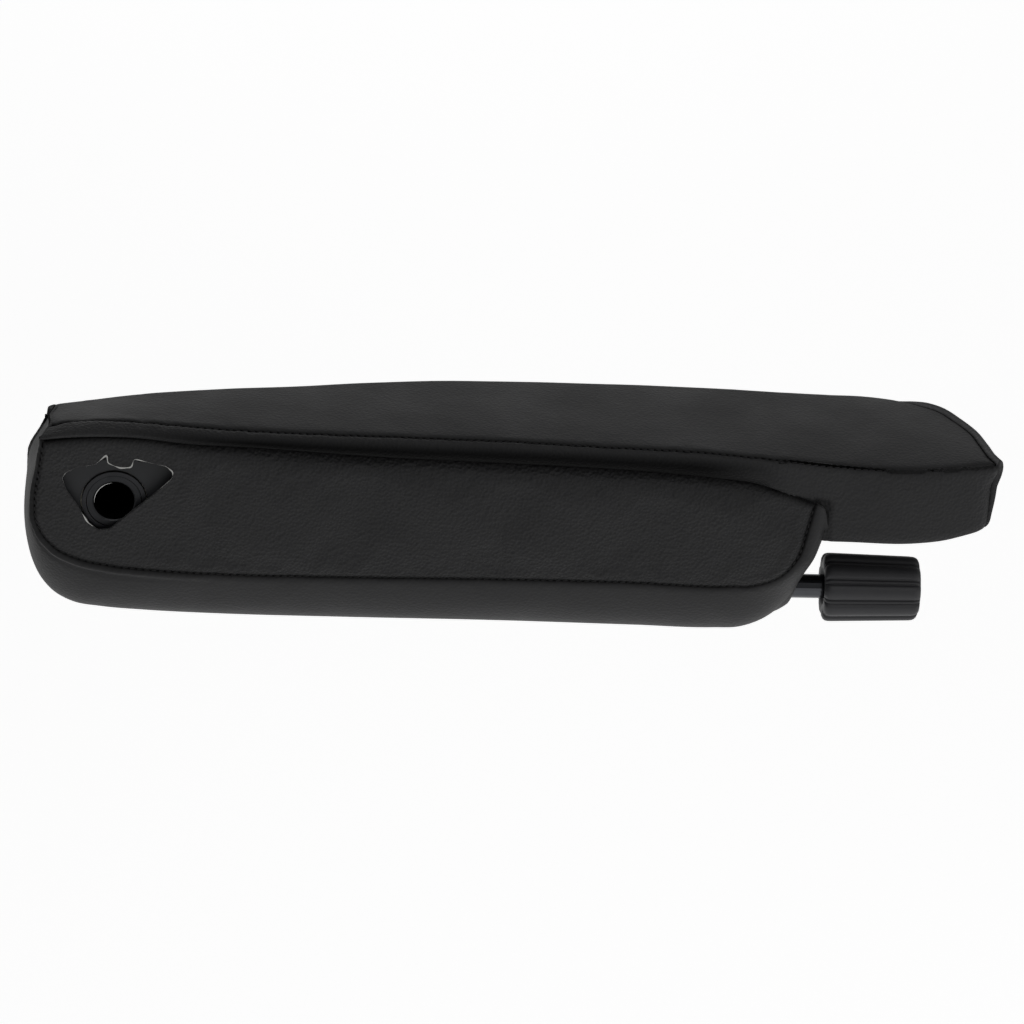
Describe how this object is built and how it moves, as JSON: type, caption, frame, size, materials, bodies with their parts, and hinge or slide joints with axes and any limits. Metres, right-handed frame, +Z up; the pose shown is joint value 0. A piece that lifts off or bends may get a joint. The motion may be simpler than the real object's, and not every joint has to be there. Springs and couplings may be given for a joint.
{
  "type": "seat armrest",
  "caption": "Fold-up seat armrest: foam body and pad in a sewn vinyl cover, on a pivot hub with a stop lever, and a screw knob under its front that sets its tilt.",
  "frame": {"origin": "on the pivot axis, at the hub's face against the seat", "axes": "+X to the armrest's front, +Y along the pivot towards the seat, +Z up"},
  "size_m": [0.394, 0.0746, 0.095],
  "materials": {
    "vinyl_black": "matte",
    "knob_plastic": "satin",
    "shroud_plastic": "satin",
    "nylon_natural": "satin",
    "zinc_steel": "satin",
    "black_steel": "satin",
    "brass": "satin",
    "moulded_foam": "matte"
  },
  "bodies": {
    "hub": {"hub_sleeve": "black_steel", "hub_collar": "black_steel", "hub_stop_plate": "zinc_steel"},
    "stop_lever": {"near_lever_plate": "zinc_steel", "far_lever_plate": "zinc_steel", "lever_stop_pin": "zinc_steel", "lever_rivet": "zinc_steel", "near_lever_washer": "nylon_natural", "far_lever_washer": "nylon_natural"},
    "armrest": {"frame_channel": "black_steel", "near_pivot_bush": "nylon_natural", "far_pivot_bush": "nylon_natural", "hub_thrust_washer": "nylon_natural", "rear_spindle_bracket": "black_steel", "front_spindle_bracket": "black_steel", "rear_spindle_bearing": "nylon_natural", "front_spindle_bearing": "nylon_natural", "pad_tray": "zinc_steel", "tray_screw_1": "zinc_steel", "tray_screw_2": "zinc_steel", "tray_screw_3": "zinc_steel", "tray_screw_4": "zinc_steel", "pivot_shroud": "shroud_plastic", "body_foam": "moulded_foam", "pad_foam": "moulded_foam", "nose_foam": "moulded_foam", "near_side_panel": "vinyl_black", "far_side_panel": "vinyl_black", "rim_gusset": "vinyl_black", "top_panel": "vinyl_black", "near_band": "vinyl_black", "far_band": "vinyl_black", "pad_underside": "vinyl_black"},
    "knob": {"tilt_knob": "knob_plastic", "knob_pin": "zinc_steel", "tilt_spindle": "zinc_steel", "rear_thrust_collar": "zinc_steel", "front_thrust_collar": "zinc_steel", "rear_thrust_washer": "nylon_natural", "front_thrust_washer": "nylon_natural", "spindle_end_clip": "black_steel"},
    "nut": {"travelling_nut": "brass"}
  },
  "joints": [
    {"name": "fold", "type": "hinge", "parent": "hub", "child": "stop_lever", "pos_m": [0, 0, 0], "axis": [0, -1, 0], "range_deg": [0, 95]},
    {"name": "tilt", "type": "hinge", "parent": "stop_lever", "child": "armrest", "pos_m": [0, 0, 0], "axis": [0, -1, 0], "range_deg": [-10, 10]},
    {"name": "knob_spin", "type": "hinge", "parent": "armrest", "child": "knob", "pos_m": [0.3, -0.0275, -0.0415], "axis": [1, 0, 0], "range_deg": [-1310, 1310]},
    {"name": "nut_slide", "type": "slide", "parent": "armrest", "child": "nut", "axis": [1, 0, 0], "range_m": [-0.0074, 0.0074]}
  ],
  "couplings": [
    {"joint": "knob_spin", "follows": "tilt", "ratio": 130.38},
    {"joint": "nut_slide", "follows": "tilt", "m_per_rad": -0.0415}
  ]
}
